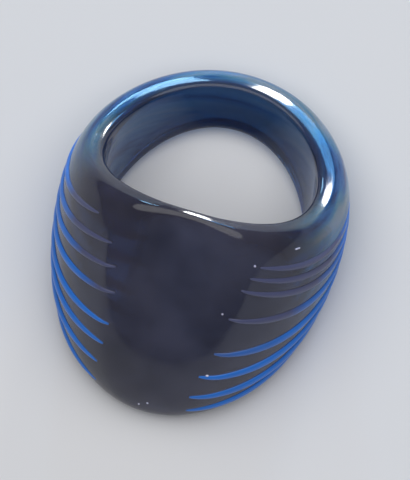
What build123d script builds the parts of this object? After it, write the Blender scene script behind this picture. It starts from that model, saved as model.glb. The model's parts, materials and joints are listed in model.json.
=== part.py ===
from build123d import *
import os
from math import cos, pi, radians, sin

# Ring-type guitar slide in blue glass.
#
# One round bore takes the finger. The wall round it is a narrow band at the back and grows
# taller and thicker towards the front, where a hollow playing face is ground into it. Fine
# trails of glass are laid over both sides, each seated in its own groove.
#
# The ring is built in the ring frame: the bore runs along Z, the front faces -Y, and the rim
# at the back is at Z = 0. It is then leaned back onto its lower edge, which is how it stands
# on a table, with the origin on the table under the middle of its box.

# Driving dimensions, in millimetres and degrees
bore_radius = 10.0
wall_side = 3.6
wall_back = 3.8
wall_front = 4.6
rim_front = 0.9
rim_side = -1.9
foot_back = -5.3
foot_front = -23.1
rest_lean = 37.8

# Section of the wall: a rounded outer half and a squarer inner half
inner_share = 0.35
outer_power = 2.25
inner_power = 5.0
bore_allowance = 0.3
section_points = 32
section_step = 15

# The cutters reach past the ring on every side
cutter_size = 8 * bore_radius

# The bore's mount lies this far below the rim plane
bore_mount_depth = 1.0

# Playing face, ground a little to one side. Across, it is hollow; from top to bottom it
# follows three depths in front of the bore axis, deepest at the rim.
face_hollow_radius = 25.0
face_turn = 5.0
face_top = (11.1, 4.0)
face_middle = (13.2, -9.0)
face_bottom = (14.1, -22.0)

# Trails: how far up the wall each one starts and ends, 0 at the foot and 1 at the rim, and
# the angle from the middle of the front at which it starts
left_trails = [
    (0.07, 0.06, 21),
    (0.20, 0.14, 20),
    (0.32, 0.225, 18),
    (0.43, 0.31, 17),
    (0.59, 0.40, 17),
    (0.71, 0.50, 19),
    (0.81, 0.61, 23),
    (0.89, 0.73, 34),
]
right_trails = [
    (0.07, 0.06, 19),
    (0.16, 0.14, 19),
    (0.28, 0.225, 21),
    (0.41, 0.31, 25),
    (0.60, 0.40, 28),
    (0.75, 0.50, 31),
    (0.81, 0.61, 34),
    (0.86, 0.72, 38),
]
trail_end_angle = 108.0
trail_radius = 0.42
trail_tip_radius = 0.14
trail_sink = 0.16
trail_tip_sink = 0.30
trail_taper_power = 0.5
trail_sections = 8

# Short steps along the surface, in radians and in levels, that give its direction
angle_step = 0.01
level_step = 0.01


def rim_height(angle):
    """Height of the top rim at an angle from the front: high in front, dipped at the sides."""
    front = max(cos(angle), 0.0) ** 2
    return rim_front * front + rim_side * sin(angle) ** 2


def foot_height(angle):
    """Height of the lower edge, which lies close to one slanted plane."""
    middle = (foot_back + foot_front) / 2
    return middle - (foot_back - foot_front) / 2 * cos(angle)


def wall_thickness(angle):
    """Thickest wall of the section at an angle from the front."""
    end_wall = wall_front if cos(angle) > 0 else wall_back
    return wall_side + (end_wall - wall_side) * cos(angle) ** 2


def place(angle, radius, height):
    """Point at an angle from the front, a radius from the bore axis and a height."""
    return Vector(radius * sin(angle), -radius * cos(angle), height)


def section_wire(angle):
    """Closed outline of the wall in the plane through the bore axis at one angle."""
    wall = wall_thickness(angle)
    centre = bore_radius + inner_share * wall
    middle = (rim_height(angle) + foot_height(angle)) / 2
    half_height = (rim_height(angle) - foot_height(angle)) / 2
    points = []
    for index in range(section_points):
        turn = 2 * pi * index / section_points
        outward, upward = cos(turn), sin(turn)
        power = outer_power if outward >= 0 else inner_power
        scale = (abs(outward) ** power + abs(upward) ** power) ** (-1 / power)
        reach = (1 - inner_share) * wall if outward >= 0 else inner_share * wall + bore_allowance
        radius = centre + reach * outward * scale
        points.append(place(angle, radius, middle + half_height * upward * scale))
    return Wire([Edge.make_spline(points, periodic=True)])


def make_ring():
    """The ring without its playing face: one half lofted past the middle, cut and mirrored."""
    overlap = 2 * section_step
    angles = range(-overlap, 180 + overlap + 1, section_step)
    half = Solid.make_loft([section_wire(radians(angle)) for angle in angles])
    right_side = Box(cutter_size, cutter_size, cutter_size, align=(Align.MIN, Align.CENTER, Align.CENTER))
    right_half = half & right_side
    ring = right_half + mirror(right_half, about=Plane.YZ)
    return ring - Cylinder(bore_radius, cutter_size)


def make_grinding_drum():
    """Drum that grinds the playing face: its side is what it leaves in the wall."""
    drum_axis = face_middle[0] + face_hollow_radius
    places = (face_top, face_middle, face_bottom)
    top, middle, bottom = (Vector(0, -depth, height) for depth, height in places)
    axis_top = Vector(0, -drum_axis, top.Z)
    axis_bottom = Vector(0, -drum_axis, bottom.Z)
    outline = Wire([
        Edge.make_line(axis_top, top),
        Edge.make_three_point_arc(top, middle, bottom),
        Edge.make_line(bottom, axis_bottom),
        Edge.make_line(axis_bottom, axis_top),
    ])
    drum = revolve(Face(outline), axis=Axis(axis_bottom, (0, 0, 1)))
    return Rot(0, 0, face_turn) * drum


def surface_point(angle, level):
    """Point on the outer surface at a level from 0 at the foot to 1 at the rim."""
    wall = wall_thickness(angle)
    upward = 2 * level - 1
    bulge = (1 - abs(upward) ** outer_power) ** (1 / outer_power)
    radius = bore_radius + wall * (inner_share + (1 - inner_share) * bulge)
    height = foot_height(angle) + (rim_height(angle) - foot_height(angle)) * level
    return place(angle, radius, height)


def direction_around(angle, level):
    """Direction of the surface round the bore, at one level."""
    return surface_point(angle + angle_step, level) - surface_point(angle - angle_step, level)


def surface_normal(angle, level):
    """Outward direction of the surface."""
    up = surface_point(angle, level + level_step) - surface_point(angle, level - level_step)
    return direction_around(angle, level).cross(up).normalized()


def make_trail(start_level, end_level, start_angle, side):
    """One trail, a round thread laid along the wall that thins and sinks in at both ends."""
    wires = []
    for index in range(trail_sections):
        share = index / (trail_sections - 1)
        fullness = sin(pi * share) ** trail_taper_power
        angle = side * radians(start_angle + (trail_end_angle - start_angle) * share)
        level = start_level + (end_level - start_level) * share
        normal = surface_normal(angle, level)
        sink = trail_tip_sink + (trail_sink - trail_tip_sink) * fullness
        radius = trail_tip_radius + (trail_radius - trail_tip_radius) * fullness
        centre = surface_point(angle, level) - normal * sink
        section_plane = Plane(centre, x_dir=normal, z_dir=direction_around(angle, level))
        wires.append(Wire.make_circle(radius, section_plane))
    return Solid.make_loft(wires)


ring = make_ring() - make_grinding_drum()
pieces = {}
for side_name, side, trails in (("left", -1, left_trails), ("right", 1, right_trails)):
    for number, (start_level, end_level, start_angle) in enumerate(trails, 1):
        pieces[f"trail_{side_name}_{number}"] = make_trail(start_level, end_level, start_angle, side)
pieces["glass_body"] = ring - list(pieces.values())

lean = Rot(-rest_lean, 0, 0)
leaned = {name: lean * piece for name, piece in pieces.items()}
box = Compound(children=[Compound([piece]) for piece in leaned.values()]).bounding_box()
to_origin = Pos(0, -box.center().Y, -box.min.Z)

os.makedirs("parts", exist_ok=True)
for name, piece in leaned.items():
    export_step(to_origin * piece, f"parts/{name}.step")

bore_point = to_origin * lean * Pos(0, 0, -bore_mount_depth)
print("bore mount at", bore_point.position, "along", Plane(bore_point).z_dir)
print("size", box.size)
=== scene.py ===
# The visual model of a ring-type guitar slide in deep blue glass, with threads of brighter
# glass laid on it. Shapes are worked out in the ring frame, in millimetres, and then taken to
# the row frame, in metres.

import json
import math

import bpy
import numpy as np
from mathutils import Matrix, Vector


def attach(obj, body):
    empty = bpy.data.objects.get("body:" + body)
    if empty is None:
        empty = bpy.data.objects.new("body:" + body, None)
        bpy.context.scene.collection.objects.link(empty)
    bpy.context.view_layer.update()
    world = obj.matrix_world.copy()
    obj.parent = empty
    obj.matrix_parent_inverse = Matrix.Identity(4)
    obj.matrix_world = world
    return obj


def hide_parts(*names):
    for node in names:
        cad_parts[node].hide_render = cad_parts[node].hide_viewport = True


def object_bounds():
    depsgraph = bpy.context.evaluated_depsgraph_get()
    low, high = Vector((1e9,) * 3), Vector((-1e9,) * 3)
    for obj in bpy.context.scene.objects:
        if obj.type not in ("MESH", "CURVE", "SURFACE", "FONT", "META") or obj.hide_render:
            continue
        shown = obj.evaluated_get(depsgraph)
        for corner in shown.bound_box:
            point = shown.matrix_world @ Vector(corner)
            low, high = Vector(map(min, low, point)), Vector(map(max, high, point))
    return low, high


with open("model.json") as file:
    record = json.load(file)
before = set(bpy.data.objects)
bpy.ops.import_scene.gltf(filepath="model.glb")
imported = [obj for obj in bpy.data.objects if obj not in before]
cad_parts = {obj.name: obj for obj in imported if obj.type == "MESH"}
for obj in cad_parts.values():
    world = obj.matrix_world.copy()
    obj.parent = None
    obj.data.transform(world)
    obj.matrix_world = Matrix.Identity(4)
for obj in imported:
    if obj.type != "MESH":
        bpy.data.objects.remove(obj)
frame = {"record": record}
cad_low, cad_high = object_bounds()
middle = (cad_low + cad_high) / 2
MM = 0.001

# The ring frame: its origin is the middle of the rim plane, its Z is the bore's axis and
# its front is at -Y. The record's bore mount, which lies a little down the bore, places it.
MOUNT_BELOW_RIM = 1.0
bore = next(mount for mount in frame["record"]["mounts"] if mount["name"] == "finger_bore")
bore_axis = Vector(bore["axis"]).normalized()
rim_centre = Vector(bore["pos_m"]) + bore_axis * MOUNT_BELOW_RIM * MM
across = Vector((1, 0, 0))
to_back = bore_axis.cross(across)

# Shape of the ring, in millimetres and degrees, as in the CAD
BORE_RADIUS = bore["dims"]["r_mm"]
WALL_SIDE, WALL_BACK, WALL_FRONT = 3.6, 3.8, 4.6
RIM_FRONT, RIM_SIDE = 0.9, -1.9
FOOT_BACK, FOOT_FRONT = -5.3, -23.1
INNER_SHARE, OUTER_POWER, INNER_POWER, BORE_ALLOWANCE = 0.35, 2.25, 5.0, 0.3
FACE_HOLLOW_RADIUS, FACE_TURN = 25.0, 5.0
FACE_DEPTHS, FACE_HEIGHTS = (14.1, 13.2, 11.1), (-22.0, -9.0, 4.0)

# What the torch and the wheel did to the skin: faint rings round the rim, with their spread in
# radians, and rounded edges
RIPPLE_HEIGHT, RIPPLE_COUNT, RIPPLE_SPREAD, RIPPLE_WANDER = 0.012, 13, 1.0, 0.6
FACE_EDGE_BLEND, BORE_EDGE_BLEND = 2.0, 0.2

# Trails run as in the CAD: the levels at which each one starts and ends, 0 at the foot and 1 at
# the rim, and the angle from the middle of the front at which it starts
LEFT_TRAILS = [
    (0.07, 0.06, 21),
    (0.20, 0.14, 20),
    (0.32, 0.225, 18),
    (0.43, 0.31, 17),
    (0.59, 0.40, 17),
    (0.71, 0.50, 19),
    (0.81, 0.61, 23),
    (0.89, 0.73, 34),
]
RIGHT_TRAILS = [
    (0.07, 0.06, 19),
    (0.16, 0.14, 19),
    (0.28, 0.225, 21),
    (0.41, 0.31, 25),
    (0.60, 0.40, 28),
    (0.75, 0.50, 31),
    (0.81, 0.61, 34),
    (0.86, 0.72, 38),
]
TRAIL_END_ANGLE = 108.0
TRAIL_RADIUS, TRAIL_TIP_RADIUS = 0.42, 0.14
TRAIL_SINK, TRAIL_TIP_SINK = 0.16, 0.12

# Here the tips sink in less than the CAD's. A skew below 1 puts a trail's fullest place nearer to
# its front end. The spread is its width over its thickness, for one at the foot and one at the rim.
TRAIL_SKEW = 0.7
LOW_TRAIL_SPREAD, HIGH_TRAIL_SPREAD = 1.5, 0.8

# Seeds at the skin: angle, level, radius, and length over width
SEEDS = [
    (35.5, 0.87, 0.13, 1.0),
    (57.0, 0.82, 0.10, 1.3),
    (56.5, 0.92, 0.09, 4.0),
    (25.5, 0.62, 0.10, 1.0),
    (24.0, 0.29, 0.12, 1.3),
    (-0.5, 0.07, 0.09, 1.0),
    (3.0, 0.09, 0.09, 1.2),
]

# How finely the meshes are divided, and the short step that gives the skin's directions
RING_STEPS, OUTER_STEPS, INNER_STEPS = 400, 168, 80
TRAIL_STEPS, TRAIL_SIDES = 90, 20
SEED_BANDS, SEED_SIDES = 12, 18
SHORT_STEP = 0.01

# Body glass. The deep slate colours in front are painted shade, with random clouds, and the azure streaks
# behind are painted glow, with painted dark streaks between, for light the band carries from behind; on
# the bore's own wall a painted slate shade takes their place.
# Where each one starts and stops is a distance in millimetres behind or from the bore's axis.
GLASS_IOR = 1.52
BODY_ROUGHNESS, BODY_SPECULAR = 0.10, 0.4
GLASS_TINT, GLASS_DENSITY = (0.10, 0.50, 0.77, 1.0), 290.0
CLEAR_FRONT, CLEAR_BACK = 0.78, 0.80
CLOUD_SCALE, CLOUD_DETAIL = 140.0, 3.0
# Painted shade: dark slate in front, with random clouds
FRONT_SHADE_COLOURS = [(0.35, (0.06, 0.06, 0.11)), (0.65, (0.17, 0.165, 0.25))]
# Painted glow round the back: azure and pale streaks, with painted dark streaks between
GLOW_WISP_SCALE, GLOW_WISP_DETAIL, GLOW_WISP_DISTORTION = 0.8, 3.0, 0.4
GLOW_WISP_COLOURS = [
    (0.34, (0.02, 0.07, 0.26)),
    (0.44, (0.05, 0.36, 0.92)),
    (0.54, (0.22, 0.70, 1.0)),
    (0.64, (0.72, 0.93, 1.0)),
]
# Painted shade on the bore's own wall
BORE_SHADE_COLOUR = (0.09, 0.10, 0.15, 1.0)
BORE_SHADE_START_STOP = (11.4, 10.2)
BACK_START_STOP = (-8.5, 0.5)
BODY_BUMP = (260.0, 0.12)

# Trail glass, which fades from azure at the foot to slate at the rim, by row-frame height in metres. The
# azure low down is partly the threads' own brighter glass and partly painted glow; the slate up the wall
# is painted shade.
TRAIL_ROUGHNESS = 0.3
TRAIL_PATCH_SCALE, TRAIL_PATCH_SHARE = 350.0, 0.4
TRAIL_GLOW_SHADE_COLOURS = [(0.15, (0.012, 0.17, 0.66)), (0.65, (0.03, 0.12, 0.42)), (1.0, (0.07, 0.08, 0.17))]
TRAIL_SHADE_DIRECTION = (0.2, 0.0, 1.0)
TRAIL_SHADE_START_STOP = (8.5 * MM, 13.0 * MM)
TRAIL_BUMP = (500.0, 0.1)

# Seeds, whose pale colour is a painted glint
SEED_ROUGHNESS, SEED_MOTTLE_SCALE = 0.25, 4000.0
SEED_GLINT_COLOURS = [(0.35, (0.30, 0.30, 0.48)), (0.6, (0.72, 0.72, 0.88))]
SEED_BUMP = (3000.0, 0.2)

# Stage: floor, world, and lights as name, azimuth, elevation, distance, size, power and colour.
# Azimuth 0 is in front and 90 to the right. The azure lamps light the band from behind.
FLOOR_COLOUR, FLOOR_ROUGHNESS, FLOOR_REACH = (0.72, 0.725, 0.74, 1.0), 0.7, 3.0
WORLD_COLOUR, WORLD_STRENGTH = (0.85, 0.86, 0.92, 1.0), 0.25
LIGHTS = [
    ("back_panel", 183, 4, 0.4, (0.06, 0.08), 0.4, (1.0, 1.0, 1.0)),
    ("back_glow", 176, 12, 0.4, (0.09, 0.13), 0.22, (0.15, 0.5, 1.0)),
    ("back_left_panel", -160, 9, 0.4, (0.055, 0.08), 0.17, (0.35, 0.68, 1.0)),
    ("overhead", 180, 84, 0.8, (1.3, 1.3), 6.8, (1.0, 1.0, 1.0)),
]

# The camera looks down on the rim from the front and a little to the right, and is rolled. In
# millimetres, the view is this high, and its middle lies this far left of and below the rim's.
CAMERA_TURN, CAMERA_RISE, CAMERA_ROLL = 10.9, 39.35, 10.7
CAMERA_DISTANCE = 0.6
VIEW_HEIGHT = 44.86
RIM_OFFSET = (0.93, 8.43)
SENSOR = 36.0
CLIP_START = 0.01


# Shape of the skin

def to_world(points):
    """Points of the ring frame, in millimetres, as points of the row frame, in metres."""
    axes = np.array([across, to_back, bore_axis])
    return np.asarray(points) * MM @ axes + np.array(rim_centre)


def rim_height(angle):
    return RIM_FRONT * np.clip(np.cos(angle), 0, 1) ** 2 + RIM_SIDE * np.sin(angle) ** 2


def foot_height(angle):
    return (FOOT_BACK + FOOT_FRONT) / 2 - (FOOT_BACK - FOOT_FRONT) / 2 * np.cos(angle)


def wall_thickness(angle):
    end_wall = np.where(np.cos(angle) > 0, WALL_FRONT, WALL_BACK)
    return WALL_SIDE + (end_wall - WALL_SIDE) * np.cos(angle) ** 2


def place(angle, radius, height):
    """Points at an angle from the front, a distance from the bore's axis and a height."""
    return np.stack([radius * np.sin(angle), -radius * np.cos(angle), height], axis=-1)


def soft_min(a, b, blend):
    """The smaller of two values, with the corner between them rounded over."""
    near = np.clip(blend - np.abs(a - b), 0, None) / blend
    return np.minimum(a, b) - near ** 2 * blend / 4


def soft_max(a, b, blend):
    """The larger of two values, with the corner between them filled."""
    return -soft_min(-a, -b, blend)


def face_radius(angle, height):
    """Distance from the bore's axis to the hollow playing face, and no limit where it has none."""
    depth = np.polyval(np.polyfit(FACE_HEIGHTS, FACE_DEPTHS, 2), height)
    drum_axis = FACE_DEPTHS[1] + FACE_HOLLOW_RADIUS
    turned = angle - math.radians(FACE_TURN)
    inside = (drum_axis - depth) ** 2 - (drum_axis * np.sin(turned)) ** 2
    hit = drum_axis * np.cos(turned) - np.sqrt(np.clip(inside, 0, None))
    return np.where((inside > 0) & (np.cos(turned) > 0), hit, np.inf)


def ripple(angle, turn):
    """Height of the slight rings that the torch left round the rim, in millimetres."""
    rim_turn = math.pi / 2
    from_rim = (turn - rim_turn + math.pi) % (2 * math.pi) - math.pi
    fade = np.exp(-(from_rim / RIPPLE_SPREAD) ** 2)
    return RIPPLE_HEIGHT * fade * np.sin(RIPPLE_COUNT * turn + angle + RIPPLE_WANDER * np.sin(2 * angle))


def wall_point(angle, turn):
    """Points of the wall's skin: angle is round the bore and turn is round the wall's section."""
    wall = wall_thickness(angle)
    half_way = (rim_height(angle) + foot_height(angle)) / 2
    half_height = (rim_height(angle) - foot_height(angle)) / 2
    outward, upward = np.cos(turn), np.sin(turn)
    power = np.where(outward >= 0, OUTER_POWER, INNER_POWER)
    scale = (np.abs(outward) ** power + np.abs(upward) ** power) ** (-1 / power)
    reach = np.where(outward >= 0, (1 - INNER_SHARE) * wall, INNER_SHARE * wall + BORE_ALLOWANCE)
    radius = BORE_RADIUS + INNER_SHARE * wall + reach * outward * scale + ripple(angle, turn)
    height = half_way + half_height * upward * scale
    radius = soft_min(radius, face_radius(angle, height), FACE_EDGE_BLEND)
    return place(angle, soft_max(radius, BORE_RADIUS, BORE_EDGE_BLEND), height)


def surface_point(angle, level):
    """Points of the outer skin at a level, which goes from 0 at the foot to 1 at the rim."""
    wall = wall_thickness(angle)
    bulge = (1 - np.abs(2 * level - 1) ** OUTER_POWER) ** (1 / OUTER_POWER)
    radius = BORE_RADIUS + wall * (INNER_SHARE + (1 - INNER_SHARE) * bulge)
    height = foot_height(angle) + (rim_height(angle) - foot_height(angle)) * level
    return place(angle, soft_min(radius, face_radius(angle, height), FACE_EDGE_BLEND), height)


def surface_directions(angle, level):
    """Unit directions of the outer skin round the hoop, up the wall and out of it."""
    around = surface_point(angle + SHORT_STEP, level) - surface_point(angle - SHORT_STEP, level)
    up = surface_point(angle, level + SHORT_STEP) - surface_point(angle, level - SHORT_STEP)
    outward = np.cross(around, up)
    return [way / np.linalg.norm(way, axis=-1, keepdims=True) for way in (around, up, outward)]


# Meshes

def make_mesh(name, points, faces, material):
    mesh = bpy.data.meshes.new(name)
    mesh.from_pydata(points.tolist(), [], faces)
    mesh.polygons.foreach_set("use_smooth", [True] * len(mesh.polygons))
    mesh.materials.append(material)
    piece = bpy.data.objects.new(name, mesh)
    bpy.context.collection.objects.link(piece)
    return piece


def grid_faces(rows, columns, wrap_rows=False):
    """Quads of a grid of points whose rows are closed loops, and whose last row may meet its first."""
    faces = []
    for row in range(rows if wrap_rows else rows - 1):
        here, there = row * columns, (row + 1) % rows * columns
        for column in range(columns):
            other = (column + 1) % columns
            faces.append((here + column, there + column, there + other, here + other))
    return faces


# Materials

def new_material(name, roughness):
    """A material, its node tree and its shader."""
    material = bpy.data.materials.new(name)
    material.use_nodes = True
    tree = material.node_tree
    shader = tree.nodes["Principled BSDF"]
    shader.inputs["Roughness"].default_value = roughness
    return material, tree, shader


def add_node(tree, kind, inputs=(), **settings):
    """A node with some of its settings given, and its inputs as values or as others' outputs."""
    node = tree.nodes.new(kind)
    for name, value in settings.items():
        setattr(node, name, value)
    for name, value in dict(inputs).items():
        if isinstance(value, bpy.types.NodeSocket):
            tree.links.new(value, node.inputs[name])
        else:
            node.inputs[name].default_value = value
    return node


def row_position(tree):
    """Output for the place in the row frame, in metres."""
    return add_node(tree, "ShaderNodeTexCoord").outputs["Object"]


def ring_position(tree):
    """Outputs for the distance in mm from the rim's centre to the right, to the back and up the bore."""
    from_centre = add_node(tree, "ShaderNodeVectorMath", {0: row_position(tree), 1: rim_centre},
                           operation="SUBTRACT").outputs["Vector"]
    outputs = []
    for direction in (across, to_back, bore_axis):
        along = add_node(tree, "ShaderNodeVectorMath", {0: from_centre, 1: direction / MM},
                         operation="DOT_PRODUCT")
        outputs.append(along.outputs["Value"])
    return outputs


def noise(tree, position, scale, detail=2.0, distortion=0.0):
    texture = add_node(tree, "ShaderNodeTexNoise", {
        "Vector": position,
        "Scale": scale,
        "Detail": detail,
        "Distortion": distortion,
    })
    return texture.outputs["Fac"]


def smooth_share(tree, value, start, stop):
    """Output that goes smoothly from 0 to 1 as a value goes from start to stop."""
    share = add_node(tree, "ShaderNodeMapRange", {"Value": value, "From Min": start, "From Max": stop},
                     interpolation_type="SMOOTHSTEP")
    return share.outputs["Result"]


def colour_ramp(tree, value, stops):
    """Output that runs through a list of (value, colour) stops."""
    ramp = add_node(tree, "ShaderNodeValToRGB", {"Fac": value})
    elements = ramp.color_ramp.elements
    while len(elements) < len(stops):
        elements.new(1.0)
    for element, (stop, colour) in zip(elements, stops):
        element.position = stop
        element.color = (*colour, 1.0)
    return ramp.outputs["Color"]


def mixed_colour(tree, share, first, second):
    """Output that goes from a first colour to a second as a share goes from 0 to 1."""
    first_input, second_input, result = 6, 7, 2
    mix = add_node(tree, "ShaderNodeMix", data_type="RGBA",
                   inputs={"Factor": share, first_input: first, second_input: second})
    return mix.outputs[result]


def add_bump(tree, scale, strength):
    """The faint waviness of glass that was melted and never moulded."""
    waves = noise(tree, row_position(tree), scale)
    bump = add_node(tree, "ShaderNodeBump", {"Height": waves, "Strength": strength, "Distance": 0.2 * MM})
    tree.links.new(bump.outputs["Normal"], tree.nodes["Principled BSDF"].inputs["Normal"])


def body_material():
    """Glass painted dark slate in front as painted shade, and round the back painted with streaks of azure
    as painted glow.
    """
    material, tree, shader = new_material("blue_glass", BODY_ROUGHNESS)
    shader.inputs["IOR"].default_value = GLASS_IOR
    shader.inputs["Specular IOR Level"].default_value = BODY_SPECULAR
    absorption = add_node(tree, "ShaderNodeVolumeAbsorption",
                          {"Color": GLASS_TINT, "Density": GLASS_DENSITY})
    tree.links.new(absorption.outputs["Volume"], tree.nodes["Material Output"].inputs["Volume"])

    # The painted glow streaks are noise laid out by angle, radius and height, so they run round the hoop
    right, back, height = ring_position(tree)
    flat = add_node(tree, "ShaderNodeCombineXYZ", {"X": right, "Y": back}).outputs["Vector"]
    radius = add_node(tree, "ShaderNodeVectorMath", {0: flat}, operation="LENGTH").outputs["Value"]
    angle = add_node(tree, "ShaderNodeMath", {0: right, 1: back}, operation="ARCTAN2").outputs["Value"]
    hoop = add_node(tree, "ShaderNodeCombineXYZ", {"X": angle, "Y": radius, "Z": height}).outputs["Vector"]
    glow_wisps = colour_ramp(tree, noise(tree, hoop, GLOW_WISP_SCALE, GLOW_WISP_DETAIL, GLOW_WISP_DISTORTION), GLOW_WISP_COLOURS)
    # Painted slate shade on the bore's wall, over the painted glow
    bore_shade_share = smooth_share(tree, radius, *BORE_SHADE_START_STOP)
    band = mixed_colour(tree, bore_shade_share, glow_wisps, BORE_SHADE_COLOUR)

    # Painted shade in front, darker and lighter in random clouds
    clouds = noise(tree, row_position(tree), CLOUD_SCALE, CLOUD_DETAIL)
    deep = colour_ramp(tree, clouds, FRONT_SHADE_COLOURS)
    # The painted shade in front gives way behind to the painted glow, and the glass grows a little clearer
    behind = smooth_share(tree, back, *BACK_START_STOP)
    clear = add_node(tree, "ShaderNodeMapRange",
                     {"Value": behind, "To Min": CLEAR_FRONT, "To Max": CLEAR_BACK})
    tree.links.new(mixed_colour(tree, behind, deep, band), shader.inputs["Base Color"])
    tree.links.new(clear.outputs["Result"], shader.inputs["Transmission Weight"])
    add_bump(tree, *BODY_BUMP)
    return material


def trail_material():
    """Opaque glass that fades with height, unevenly, and a little sooner on the right: azure low down,
    partly painted glow, and slate higher up as painted shade.
    """
    material, tree, shader = new_material("trail_glass", TRAIL_ROUGHNESS)
    shader.inputs["IOR"].default_value = GLASS_IOR
    position = row_position(tree)
    along = add_node(tree, "ShaderNodeVectorMath", {0: position, 1: TRAIL_SHADE_DIRECTION},
                     operation="DOT_PRODUCT")
    trail_shade = smooth_share(tree, along.outputs["Value"], *TRAIL_SHADE_START_STOP)
    patches = noise(tree, position, TRAIL_PATCH_SCALE)
    uneven = add_node(tree, "ShaderNodeMath", {0: patches, 1: TRAIL_PATCH_SHARE, 2: trail_shade},
                      operation="MULTIPLY_ADD")
    # Painted glow low down and painted shade high up, with random patches
    colour = colour_ramp(tree, uneven.outputs["Value"], TRAIL_GLOW_SHADE_COLOURS)
    tree.links.new(colour, shader.inputs["Base Color"])
    add_bump(tree, *TRAIL_BUMP)
    return material


def seed_glint_material():
    """Pale, faintly mottled grains, whose pale colour is a painted glint."""
    material, tree, shader = new_material("seed_glass_painted_glint", SEED_ROUGHNESS)
    mottle = noise(tree, row_position(tree), SEED_MOTTLE_SCALE)
    # Pale colour painted as a glint, with a random mottle
    tree.links.new(colour_ramp(tree, mottle, SEED_GLINT_COLOURS), shader.inputs["Base Color"])
    add_bump(tree, *SEED_BUMP)
    return material


def floor_material():
    material, _, shader = new_material("pale_floor", FLOOR_ROUGHNESS)
    shader.inputs["Base Color"].default_value = FLOOR_COLOUR
    return material


# Pieces

def make_ring(material):
    angles = np.radians(np.linspace(0, 360, RING_STEPS, endpoint=False))
    outer = np.radians(np.linspace(-90, 90, OUTER_STEPS, endpoint=False))
    inner = np.radians(np.linspace(90, 270, INNER_STEPS, endpoint=False))
    turns = np.concatenate([outer, inner])
    points = wall_point(angles[:, None], turns[None, :]).reshape(-1, 3)
    faces = grid_faces(len(angles), len(turns), wrap_rows=True)
    ring = make_mesh("ring_body", to_world(points), faces, material)
    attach(ring, "root")
    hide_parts("glass_body")


def make_seeds(material):
    """Tiny blisters and grains at the skin, drawn out along the hoop, as one mesh, painted pale as glints.
    """
    bands = np.radians(np.linspace(0, 180, SEED_BANDS + 1)[1:-1])
    turns = np.radians(np.linspace(0, 360, SEED_SIDES, endpoint=False))
    side_faces = [tuple(index + 1 for index in face) for face in grid_faces(len(bands), len(turns))]
    points, faces = [], []
    for degrees, level, radius, stretch in SEEDS:
        angle = math.radians(degrees)
        centre = surface_point(angle, level)
        around, up, outward = surface_directions(angle, level)
        ring = np.cos(turns)[:, None] * up + np.sin(turns)[:, None] * outward
        shell = [centre - around * radius * stretch]
        for band in bands:
            shell.extend(centre + radius * (ring * math.sin(band) - around * stretch * math.cos(band)))
        shell.append(centre + around * radius * stretch)
        last = len(shell) - 1
        end_faces = []
        for index in range(len(turns)):
            other = (index + 1) % len(turns)
            end_faces.append((0, 1 + other, 1 + index))
            end_faces.append((last, last - len(turns) + index, last - len(turns) + other))
        faces.extend(tuple(len(points) + index for index in face) for face in side_faces + end_faces)
        points.extend(shell)
    seeds = make_mesh("surface_seeds", to_world(points), faces, material)
    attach(seeds, "root")


def make_trail(node, start_level, end_level, start_angle, side, material):
    """A tapering thread of glass, half sunk in the wall."""
    share = np.linspace(0, 1, TRAIL_STEPS)
    fullness = np.sin(math.pi * share ** TRAIL_SKEW)
    angle = side * np.radians(start_angle + (TRAIL_END_ANGLE - start_angle) * share)
    level = start_level + (end_level - start_level) * share
    _, up, outward = surface_directions(angle, level)
    sink = TRAIL_TIP_SINK + (TRAIL_SINK - TRAIL_TIP_SINK) * fullness
    radius = TRAIL_TIP_RADIUS + (TRAIL_RADIUS - TRAIL_TIP_RADIUS) * fullness
    centre = surface_point(angle, level) - outward * sink[:, None]
    turns = np.radians(np.linspace(0, 360, TRAIL_SIDES, endpoint=False))
    spread = LOW_TRAIL_SPREAD + (HIGH_TRAIL_SPREAD - LOW_TRAIL_SPREAD) * start_level
    section = np.cos(turns)[:, None] * outward[:, None] + spread * np.sin(turns)[:, None] * up[:, None]
    points = (centre[:, None] + radius[:, None, None] * section).reshape(-1, 3)

    front_end = tuple(range(TRAIL_SIDES))
    back_end = tuple(len(points) - 1 - index for index in front_end)
    faces = grid_faces(TRAIL_STEPS, TRAIL_SIDES) + [front_end, back_end]
    if side > 0:
        faces = [tuple(reversed(face)) for face in faces]
    trail = make_mesh(node + "_glass", to_world(points), faces, material)
    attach(trail, "root")
    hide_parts(node)


# Stage

def make_floor():
    corners = [(-1, -1, 0), (1, -1, 0), (1, 1, 0), (-1, 1, 0)]
    floor = make_mesh("floor", FLOOR_REACH * np.array(corners), [(0, 1, 2, 3)], floor_material())


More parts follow.
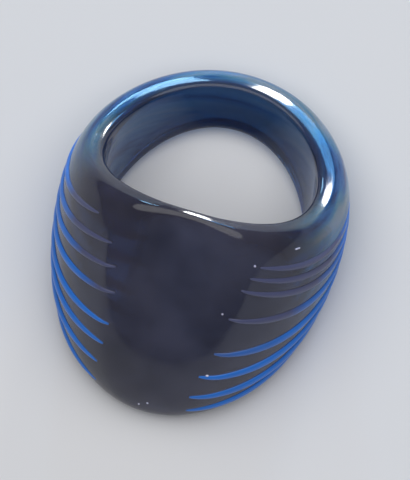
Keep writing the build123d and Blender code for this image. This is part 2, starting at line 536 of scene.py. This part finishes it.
def make_camera():
    turn, rise, roll = (math.radians(angle) for angle in (CAMERA_TURN, CAMERA_RISE, CAMERA_ROLL))
    right = across * math.cos(turn) + to_back * math.sin(turn)
    forward = to_back * math.cos(turn) - across * math.sin(turn)
    away = bore_axis * math.sin(rise) - forward * math.cos(rise)
    up = away.cross(right)
    image_right = right * math.cos(roll) + up * math.sin(roll)
    image_up = up * math.cos(roll) - right * math.sin(roll)
    aim = rim_centre - (image_right * RIM_OFFSET[0] + image_up * RIM_OFFSET[1]) * MM
    data = bpy.data.cameras.new("camera")
    data.sensor_width = SENSOR
    data.lens = SENSOR * CAMERA_DISTANCE / (VIEW_HEIGHT * MM)
    data.clip_start = CLIP_START
    camera = bpy.data.objects.new("camera", data)
    turned = Matrix((image_right, image_up, away)).transposed().to_4x4()
    camera.matrix_world = Matrix.Translation(aim + away * CAMERA_DISTANCE) @ turned
    bpy.context.collection.objects.link(camera)
    bpy.context.scene.camera = camera


def make_light(name, azimuth, elevation, distance, size, power, colour):
    """A soft oval panel that looks at the slide."""
    turn, rise = math.radians(azimuth), math.radians(elevation)
    away = Vector((math.sin(turn) * math.cos(rise), -math.cos(turn) * math.cos(rise), math.sin(rise)))
    data = bpy.data.lights.new(name, "AREA")
    data.shape = "ELLIPSE"
    data.size, data.size_y = size
    data.energy = power
    data.color = colour
    light = bpy.data.objects.new(name, data)
    light.location = middle + away * distance
    light.rotation_euler = away.to_track_quat("Z", "Y").to_euler()
    light.visible_camera = False
    bpy.context.collection.objects.link(light)


def make_world():
    world = bpy.data.worlds.new("studio")
    world.use_nodes = True
    background = world.node_tree.nodes["Background"]
    background.inputs["Color"].default_value = WORLD_COLOUR
    background.inputs["Strength"].default_value = WORLD_STRENGTH
    bpy.context.scene.world = world
    bpy.context.scene.view_settings.view_transform = "Standard"


make_ring(body_material())
make_seeds(seed_glint_material())
trail_glass = trail_material()
for side_name, side, trails in (("left", -1, LEFT_TRAILS), ("right", 1, RIGHT_TRAILS)):
    for number, (start_level, end_level, start_angle) in enumerate(trails, 1):
        make_trail(f"trail_{side_name}_{number}", start_level, end_level, start_angle, side, trail_glass)

make_floor()
make_camera()
for light in LIGHTS:
    make_light(*light)
make_world()
